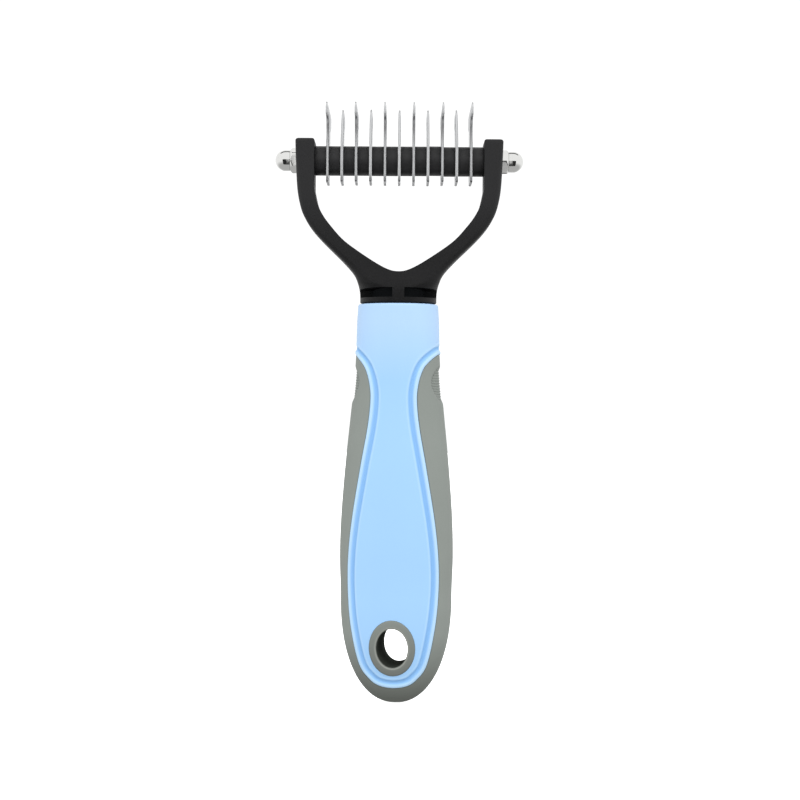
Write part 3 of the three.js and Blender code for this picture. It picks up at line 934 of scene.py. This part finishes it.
def build_blade(double, thickness):
    """One stamped blade in the middle of the row: flat faces, eased edges, ground inside the hooks."""
    outline, ground, edge_half = blade_outline(double)
    before, after = np.roll(outline, 1, axis=0), np.roll(outline, -1, axis=0)
    tangent = unit(unit(outline - before) + unit(after - outline))
    inward = np.column_stack([-tangent[:, 1], tangent[:, 0]])
    face_line = outline + inward * ground[:, None]
    hole_angle = np.linspace(0, 2 * math.pi, 40, endpoint=False)
    hole = BORE_RADIUS * np.column_stack([np.cos(hole_angle), np.sin(hole_angle)])

    def at(line, x):
        return np.column_stack([np.broadcast_to(x, len(line)), line[:, 0], line[:, 1] + rod_height()])

    half = thickness / 2
    skin = Skin()
    bands = [at(face_line, -half), at(outline, -edge_half), at(outline, edge_half), at(face_line, half)]
    skin.grid(bands, loop=True)
    skin.grid([at(hole, -half), at(hole, half)], loop=True)
    flat = [[(*p, 0.0) for p in face_line], [(*p, 0.0) for p in hole[::-1]]]
    triangles = tessellate_polygon(flat)
    both = np.vstack([face_line, hole[::-1]])
    for x in (-half, half):
        first = len(skin.points)
        skin.points.extend(map(tuple, at(both, x)))
        skin.faces.extend(tuple(first + i for i in triangle) for triangle in triangles)
    return skin.mesh("blade_profile", sharp=18)


def scattered(tree, spread, seed):
    """A random vector for each point, from minus the spread to plus the spread."""
    least = put(tree, "ShaderNodeVectorMath", {0: spread, "Scale": -1.0}, operation="SCALE")
    return put(tree, "FunctionNodeRandomValue", {
        0: least.outputs[0], 1: spread, "Seed": seed}, data_type="FLOAT_VECTOR").outputs[0]


def node_group(name, result, **inputs):
    """A node group for geometry: (tree, outputs of its input node)."""
    tree = bpy.data.node_groups.new(name, "GeometryNodeTree")
    for socket, kind in inputs.items():
        tree.interface.new_socket(socket, in_out="INPUT", socket_type=f"NodeSocket{kind}")
    tree.interface.new_socket(result, in_out="OUTPUT", socket_type="NodeSocketGeometry")
    return tree, put(tree, "NodeGroupInput").outputs


def hand_over(tree, geometry, material):
    """Ends a node group with real geometry in one finish."""
    real = put(tree, "GeometryNodeRealizeInstances", {0: geometry})
    done = put(tree, "GeometryNodeSetMaterial", {"Geometry": real.outputs[0], "Material": material})
    put(tree, "NodeGroupOutput", {0: done.outputs[0]})


def row_tree():
    """Nodes that repeat a piece along the rod, each copy a hair off true, with one finish."""
    tree, given = node_group(
        "Row along the rod", "Row", Piece="Geometry", Count="Int", First="Vector", Step="Vector",
        Shift="Vector", Tilt="Vector", Seed="Int", Finish="Material")
    line = put(tree, "GeometryNodeMeshLine", {
        "Count": given["Count"], "Start Location": given["First"], "Offset": given["Step"]}, mode="OFFSET")
    placed = put(tree, "GeometryNodeSetPosition", {
        "Geometry": line.outputs[0], "Offset": scattered(tree, given["Shift"], given["Seed"])})
    next_seed = put(tree, "ShaderNodeMath", {0: given["Seed"], 1: 1.0}, operation="ADD").outputs[0]
    turn = put(tree, "FunctionNodeEulerToRotation", {0: scattered(tree, given["Tilt"], next_seed)})
    copies = put(tree, "GeometryNodeInstanceOnPoints", {
        "Points": placed.outputs[0], "Instance": given["Piece"], "Rotation": turn.outputs[0]})
    hand_over(tree, copies.outputs[0], given["Finish"])
    return tree


def ribs_tree():
    """Nodes that sweep a round bead along every line of the piece."""
    tree, given = node_group(
        "Beads along lines", "Beads", Lines="Geometry", Radius="Float", Finish="Material")
    curve = put(tree, "GeometryNodeMeshToCurve", {0: given["Lines"]})
    circle = put(tree, "GeometryNodeCurvePrimitiveCircle", {
        "Resolution": 8, "Radius": given["Radius"]})
    bead = put(tree, "GeometryNodeCurveToMesh", {
        "Curve": curve.outputs[0], "Profile Curve": circle.outputs[0], "Fill Caps": True})
    hand_over(tree, bead.outputs[0], given["Finish"])
    return tree


def run_tree(obj, tree, values):
    """Puts the tree on the object with its inputs set, and bakes the result."""
    modifier = obj.modifiers.new(tree.name, "NODES")
    modifier.node_group = tree
    for item in tree.interface.items_tree:
        if item.item_type == "SOCKET" and item.in_out == "INPUT" and item.name in values:
            modifier[item.identifier] = values[item.name]
    return bake(obj)


def build_sleeve(length):
    """One spacer sleeve in the middle of the row, with its cut ends eased."""
    half, ease_edge = length / 2, 0.18
    skin = turned((
        (-half, BORE_RADIUS), (-half, SLEEVE_RADIUS - ease_edge),
        (-half + 0.05, SLEEVE_RADIUS - 0.06), (-half + ease_edge, SLEEVE_RADIUS),
        (half - ease_edge, SLEEVE_RADIUS), (half - 0.05, SLEEVE_RADIUS - 0.06),
        (half, SLEEVE_RADIUS - ease_edge), (half, BORE_RADIUS), (-half, BORE_RADIUS)), 72)
    skin.points = [(x, y, z + rod_height()) for x, y, z in skin.points]
    return skin.mesh("sleeve_profile", sharp=40)


def build_nut(side):
    """One acorn nut: a chamfered hexagon, a neck line and a round dome."""
    flats, base, tip, dome = 3.5, 30.78, 38.75, 3.25
    hex_top = base + 3.2
    segments = 96
    angle = np.linspace(0, 2 * math.pi, segments, endpoint=False)
    corner = 0.0 if side < 0 else math.pi / 6
    away = np.abs((angle - corner + math.pi / 6) % (math.pi / 3) - math.pi / 6)
    hexagon = np.minimum(flats / np.cos(math.pi / 6 - away), 3.98)
    rows = []

    def row(x, radius):
        rows.append(ring_about_x(x, radius, np.sin(angle), np.cos(angle)))

    row(base, BORE_RADIUS)
    row(base, np.minimum(hexagon, 3.55))
    for x in np.linspace(base, base + 0.25, 4)[1:]:
        row(x, np.minimum(hexagon, 3.55 + (x - base) * 1.8))
    for x in np.linspace(base + 0.3, hex_top, 20):
        row(x, np.minimum(hexagon, 3.42 + (hex_top - x) * 0.85))
    row(hex_top + 0.02, 3.3)
    row(hex_top - 0.06, 3.24)
    row(hex_top - 0.06, 3.16)
    row(hex_top + 0.1, 3.2)
    for x in np.linspace(hex_top + 0.2, tip - dome, 5):
        row(x, dome)
    for share in np.linspace(0, math.pi / 2, 18)[1:]:
        row(tip - dome * (1 - math.sin(share)), dome * math.cos(share))
    skin = Skin()
    skin.grid(rows, loop=True)
    bore = [(base, BORE_RADIUS), (tip - 2.1, BORE_RADIUS), (tip - 2.1, 0)]
    skin.grid([ring_about_x(x, r, np.sin(angle), np.cos(angle)) for x, r in bore], loop=True)
    skin.points = [(x * side, y, z + rod_height()) for x, y, z in skin.points]
    return skin.mesh(f"nut_profile_{'left' if side < 0 else 'right'}", sharp=22)


def rib_lines(depth, pitch):
    """Level lines across both thumb rests, following the sunk surface."""
    points, edges = [], []
    for side in (-1, 1):
        for z in np.arange(THUMB_HEIGHT - 5.6, THUMB_HEIGHT + 5.0, pitch):
            up = (z - THUMB_HEIGHT) / (THUMB_UP if z > THUMB_HEIGHT else THUMB_DOWN)
            span = THUMB_HALF_DEPTH * math.sqrt(max(0.8 - up * up, 0))
            if span < 1.2:
                continue
            y = np.linspace(-span, span, 25)
            w, d = handle_halves(np.full(25, z))
            n = squareness(np.full(25, z))
            x = w * np.maximum(1 - (np.abs(y) / d) ** n, 0) ** (1 / n)
            line = np.column_stack([x, y, np.full(25, z)])
            line = raised(line, -thumb_dip(line, depth) - 0.02) * [side, 1, 1]
            first = len(points)
            points.extend(line)
            edges.extend((first + i, first + i + 1) for i in range(24))
    turn = handle_turn()
    c, s = math.cos(turn), math.sin(turn)
    points = np.array(points) @ np.array([[c, s, 0], [-s, c, 0], [0, 0, 1]]) * MM
    mesh = bpy.data.meshes.new("thumb_rib_lines")
    mesh.from_pydata([tuple(p) for p in points], edges, [])
    return mesh


# ------------------------------------------------------------ settings


def size_property(name, metres, description, precision=5):
    """A setting in metres."""
    return bpy.props.FloatProperty(
        name=name, description=description, default=metres, unit="LENGTH", precision=precision)


class RakeHeadSettings(bpy.types.PropertyGroup):
    """Sizes of the blade row."""

    rod_height: size_property(
        "Rod height", 0.169, "Height of the cross rod above the butt", precision=4)
    blade_pitch: size_property(
        "Blade pitch", 0.00445, "Distance from one blade to the next along the rod")
    blade_thickness: size_property("Blade thickness", 0.0008, "Thickness of the blades' sheet steel")
    seed: bpy.props.IntProperty(
        name="Seed", description="Picks the small differences between the blades and sleeves",
        default=4)


class RakeHandleSettings(bpy.types.PropertyGroup):
    """Sizes of the handle's details."""

    turn: bpy.props.FloatProperty(
        name="Handle turn", description="How far the handle sits turned on the fork's tang",
        default=math.radians(-6.75), unit="ROTATION")
    groove_depth: size_property(
        "Groove depth", 0.0006, "Depth of the groove inside the rim of a blue panel")
    thumb_depth: size_property(
        "Thumb rest depth", 0.0006, "How far the thumb rests are sunk into the grip")
    rib_pitch: size_property("Rib pitch", 0.00082, "Distance from one rib of a thumb rest to the next")
    rib_radius: size_property("Rib radius", 0.0002, "Radius of a rib of a thumb rest")


def colour_property(name, description, hex_colour):
    return bpy.props.FloatVectorProperty(
        name=name, description=description, default=srgb_default(hex_colour),
        subtype="COLOR", size=3, min=0.0, max=1.0)


class RakeColours(bpy.types.PropertyGroup):
    """Colours of the finishes."""

    blue: colour_property("Panel blue", "Colour of the handle's hard core", "#A4D1FC")
    grey: colour_property("Grip grey", "Colour of the soft grip", "#8C928D")
    black: colour_property("Fork black", "Colour of the fork", "#131314")
    sleeve: colour_property("Sleeve black", "Colour of the spacer sleeves", "#272728")
    steel: colour_property("Blade steel", "Colour of the blades", "#D2D3D4")
    chrome: colour_property("Nut chrome", "Colour of the cap nuts", "#DEDEDC")
    zinc: colour_property("Rod zinc", "Colour of the cross rod", "#A9ADB0")


class RakeStageSettings(bpy.types.PropertyGroup):
    """Camera and light."""

    camera_distance: size_property(
        "Camera distance", 0.63, "Distance from the tool's middle plane to the camera", precision=4)
    camera_height: size_property(
        "Camera height", 0.0944, "Height of the camera above the floor", precision=4)
    camera_side: size_property(
        "Camera offset", 0.00076, "How far the camera stands to the right of the tool")
    camera_roll: bpy.props.FloatProperty(
        name="Camera roll", description="How far the camera leans to its left",
        default=math.radians(0.42), unit="ROTATION")
    lens: bpy.props.FloatProperty(
        name="Lens", description="Focal length in millimetres on a 36 mm sensor", default=90.7)
    surround: bpy.props.FloatProperty(
        name="Surround light", description="Strength of the white studio surround", default=1.08)
    key: bpy.props.FloatProperty(
        name="Key light", description="Power of the large soft light above the front",
        default=3.0, unit="POWER")


# ------------------------------------------------------------ operators


class RAKE_OT_stage(bpy.types.Operator):
    """Makes the floor, the studio surround, the soft lights and the camera"""

    bl_idname = "rake.stage"
    bl_label = "Stage"

    def execute(self, context):
        settings = context.scene.rake_stage
        context.scene.view_settings.view_transform = "Standard"
        floor = link("floor", disc_mesh(3.0), floor_finish())
        floor.visible_diffuse = False
        floor.visible_glossy = False
        card = link("dark_card", card_mesh(), card_finish())
        card.visible_camera = False
        card.visible_diffuse = False
        card.visible_shadow = False
        context.scene.world = surround_world(settings.surround)
        add_light("key", (0.08, -0.8, 0.75), (0, 0, 0.12), 0.6, settings.key)
        add_camera(context.scene, settings)
        return {"FINISHED"}


class RAKE_OT_handle_core(bpy.types.Operator):
    """Makes the blue core with its panels, cap, socket and hanging hole"""

    bl_idname = "rake.handle_core"
    bl_label = "Handle core"

    def execute(self, context):
        obj = link("handle_core_shell", build_core(context.scene.rake_handle), finish("blue"))
        finish_piece(obj, "handle_plastic", "handle_core")
        return {"FINISHED"}


class RAKE_OT_grip(bpy.types.Operator):
    """Makes the grey grip, the ribs of its thumb rests and the ring in the hanging hole"""

    bl_idname = "rake.grip"
    bl_label = "Grip"

    def execute(self, context):
        settings = context.scene.rake_handle
        skin = link("grip_skin", build_grip(settings), finish("grey"))
        finish_piece(skin, "grip_rubber", "grip_overmould")
        ribs = link("thumb_ribs", rib_lines(settings.thumb_depth / MM, settings.rib_pitch / MM))
        run_tree(ribs, ribs_tree(), {"Radius": settings.rib_radius, "Finish": finish("grey")})
        ribs.data.shade_smooth()
        finish_piece(ribs, "grip_rubber", "grip_overmould")
        ring = link("grommet_ring", build_grommet(), finish("ring"))
        finish_piece(ring, "grip_rubber", "hang_hole_grommet")
        return {"FINISHED"}


class RAKE_OT_fork(bpy.types.Operator):
    """Makes the fork with its collar slots and nut seats"""

    bl_idname = "rake.fork"
    bl_label = "Fork"

    def execute(self, context):
        obj = link("fork_body", build_fork(), finish("fork"))
        cut(obj, fork_cuts())
        # Painted shade in the bottoms of the collar slots.
        paint_slot_shade(obj.data)
        obj.data.set_sharp_from_angle(angle=math.radians(32))
        finish_piece(obj, "fork_nylon", "fork_head")
        return {"FINISHED"}


class RAKE_OT_blades(bpy.types.Operator):
    """Makes the six double hooked and the five single hooked blades"""

    bl_idname = "rake.blades"
    bl_label = "Blades"

    def execute(self, context):
        head = context.scene.rake_head
        tree = row_tree()
        for name, double, count, first in (
                ("double_hooked_blades", True, 6, -5), ("single_hooked_blades", False, 5, -4)):
            obj = link(name, build_blade(double, head.blade_thickness / MM))
            run_tree(obj, tree, {
                "Count": count, "First": (first * head.blade_pitch, 0, 0),
                "Step": (2 * head.blade_pitch, 0, 0), "Shift": (0.00001, 0.00005, 0.00006),
                "Tilt": (0.003, 0, 0), "Seed": head.seed, "Finish": finish("blade")})
            nodes = [f"blade_{i:02d}" for i in range(1 if double else 2, 12, 2)]
            finish_piece(obj, "blade_steel", *nodes)
        return {"FINISHED"}


class RAKE_OT_sleeves(bpy.types.Operator):
    """Makes the twelve spacer sleeves between the blades"""

    bl_idname = "rake.sleeves"
    bl_label = "Sleeves"

    def execute(self, context):
        head = context.scene.rake_head
        length = (head.blade_pitch - head.blade_thickness) / MM - 0.06
        obj = link("spacer_sleeves", build_sleeve(length))
        run_tree(obj, bpy.data.node_groups["Row along the rod"], {
            "Count": 12, "First": (-5.5 * head.blade_pitch, 0, 0), "Step": (head.blade_pitch, 0, 0),
            "Shift": (0.00001, 0.00012, 0.00012), "Tilt": (0.0, 0.0, 0.0), "Seed": head.seed + 7,
            "Finish": finish("sleeve")})
        finish_piece(obj, "spacer_plastic", *[f"spacer_{i:02d}" for i in range(1, 13)])
        return {"FINISHED"}


class RAKE_OT_rod_and_nuts(bpy.types.Operator):
    """Makes the two cap nuts and gives the cross rod its finish"""

    bl_idname = "rake.rod_and_nuts"
    bl_label = "Rod and nuts"

    def execute(self, context):
        for name, side in (("left", -1), ("right", 1)):
            obj = link(f"acorn_nut_{name}", build_nut(side), finish("chrome"))
            finish_piece(obj, "nut_chrome", f"cap_nut_{name}")
        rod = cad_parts["cross_rod"]
        for slot in rod.material_slots:
            slot.link = "OBJECT"
            slot.material = finish("rod")
        return {"FINISHED"}


# ------------------------------------------------------------ stage pieces


def disc_mesh(radius):
    """A round floor at height 0."""
    build = bmesh.new()
    bmesh.ops.create_circle(build, cap_ends=True, segments=128, radius=radius)
    mesh = bpy.data.meshes.new("floor")
    build.to_mesh(mesh)
    build.free()
    return mesh


def card_mesh():
    """Dark cards that only shiny metal sees: two low in front, one behind the head, one overhead."""
    mesh = bpy.data.meshes.new("dark_card")
    points, faces = [], []
    for left, right, low, high in (
            (-0.34, -0.06, (-0.48, -0.45), (-0.48, 0.232)), (0.06, 0.34, (-0.48, -0.45), (-0.48, 0.232)),
            (-0.12, 0.12, (0.5, 0.03), (0.5, 0.13)), (-0.5, 0.5, (0.1, 0.8), (0.32, 0.8))):
        first = len(points)
        points += [(left, *low), (right, *low), (right, *high), (left, *high)]
        faces.append(tuple(range(first, first + 4)))
    mesh.from_pydata(points, [], faces)
    return mesh


def floor_finish():
    """White seamless studio paper: matt, with a trace of fibre."""
    material, tree, place, shader = finish_tree("White studio paper")
    fibre = put(tree, "ShaderNodeTexNoise", {"Vector": place, "Scale": 900.0, "Detail": 2.0})
    shade = mixed(tree, fibre.outputs[0], linear("#F9F9F9"), linear("#FEFEFE"))
    tree.links.new(shade, shader.inputs["Base Color"])
    shader.inputs["Roughness"].default_value = 0.9
    shader.inputs["Emission Color"].default_value = (1, 1, 1, 1)
    shader.inputs["Emission Strength"].default_value = 0.9
    return material


def card_finish():
    """Black felt over board."""
    material, tree, place, shader = finish_tree("Black felt")
    nap = put(tree, "ShaderNodeTexNoise", {"Vector": place, "Scale": 700.0})
    shade = mixed(tree, nap.outputs[0], linear("#1C1C1C"), linear("#2A2A2A"))
    tree.links.new(shade, shader.inputs["Base Color"])
    shader.inputs["Roughness"].default_value = 1.0
    return material


def surround_world(strength):
    """White studio surround that falls off below the floor line, as light does under a table top."""
    world = bpy.data.worlds.new("Studio surround")
    world.use_nodes = True
    tree = world.node_tree
    tree.nodes.clear()
    way = put(tree, "ShaderNodeTexCoord").outputs["Generated"]
    height = put(tree, "ShaderNodeSeparateXYZ", {0: way}).outputs["Z"]
    level = put(tree, "ShaderNodeMapRange", {
        "Value": height, "From Min": -0.7, "From Max": -0.12, "To Min": 0.5, "To Max": 1.0},
        interpolation_type="SMOOTHSTEP")
    light = put(tree, "ShaderNodeMath", {0: level.outputs[0], 1: strength}, operation="MULTIPLY")
    background = put(tree, "ShaderNodeBackground", {"Color": (1, 1, 1, 1), "Strength": light.outputs[0]})
    put(tree, "ShaderNodeOutputWorld", {"Surface": background.outputs[0]})
    return world


def add_light(name, place, target, size, power):
    """A square soft light at a place, facing a target."""
    data = bpy.data.lights.new(name, "AREA")
    data.size, data.energy = size, power
    light = bpy.data.objects.new(name, data)
    light.location = place
    way = np.array(target) - np.array(place)
    light.rotation_euler = (
        math.acos(-way[2] / np.linalg.norm(way)), 0, math.atan2(way[1], way[0]) - math.pi / 2)
    light.visible_glossy = False
    bpy.context.scene.collection.objects.link(light)


def add_camera(scene, settings):
    """The camera looks level along +Y, at the front of the tool."""
    data = bpy.data.cameras.new("camera")
    data.lens, data.sensor_width = settings.lens, 36
    camera = bpy.data.objects.new("camera", data)
    camera.location = (settings.camera_side, -settings.camera_distance, settings.camera_height)
    camera.rotation_euler = (math.pi / 2, -settings.camera_roll, 0)
    scene.collection.objects.link(camera)
    scene.camera = camera


# ------------------------------------------------------------ panel and start

OPERATORS = (
    RAKE_OT_stage, RAKE_OT_handle_core, RAKE_OT_grip, RAKE_OT_fork, RAKE_OT_blades,
    RAKE_OT_sleeves, RAKE_OT_rod_and_nuts,
)
SETTINGS = {
    "rake_head": RakeHeadSettings, "rake_handle": RakeHandleSettings,
    "rake_colours": RakeColours, "rake_stage": RakeStageSettings,
}


class RAKE_PT_panel(bpy.types.Panel):
    """Lists the rake's settings and the steps that build it"""

    bl_label = "Undercoat rake"
    bl_idname = "RAKE_PT_panel"
    bl_space_type = "VIEW_3D"
    bl_region_type = "UI"
    bl_category = "Rake"

    def draw(self, context):
        for name, group in SETTINGS.items():
            box = self.layout.box()
            for prop in group.__annotations__:
                box.prop(getattr(context.scene, name), prop)
        for operator in OPERATORS:
            self.layout.operator(operator.bl_idname)


def register():
    for cls in (*SETTINGS.values(), *OPERATORS, RAKE_PT_panel):
        bpy.utils.register_class(cls)
    for name, group in SETTINGS.items():
        setattr(bpy.types.Scene, name, bpy.props.PointerProperty(type=group))


def unregister():
    for name in SETTINGS:
        delattr(bpy.types.Scene, name)
    for cls in reversed((*SETTINGS.values(), *OPERATORS, RAKE_PT_panel)):
        bpy.utils.unregister_class(cls)


def main():
    """Builds the whole rake and its stage."""
    register()
    bpy.ops.rake.stage()
    bpy.ops.rake.handle_core()
    bpy.ops.rake.grip()
    bpy.ops.rake.fork()
    bpy.ops.rake.blades()
    bpy.ops.rake.sleeves()
    bpy.ops.rake.rod_and_nuts()


if __name__ == "__main__":
    main()
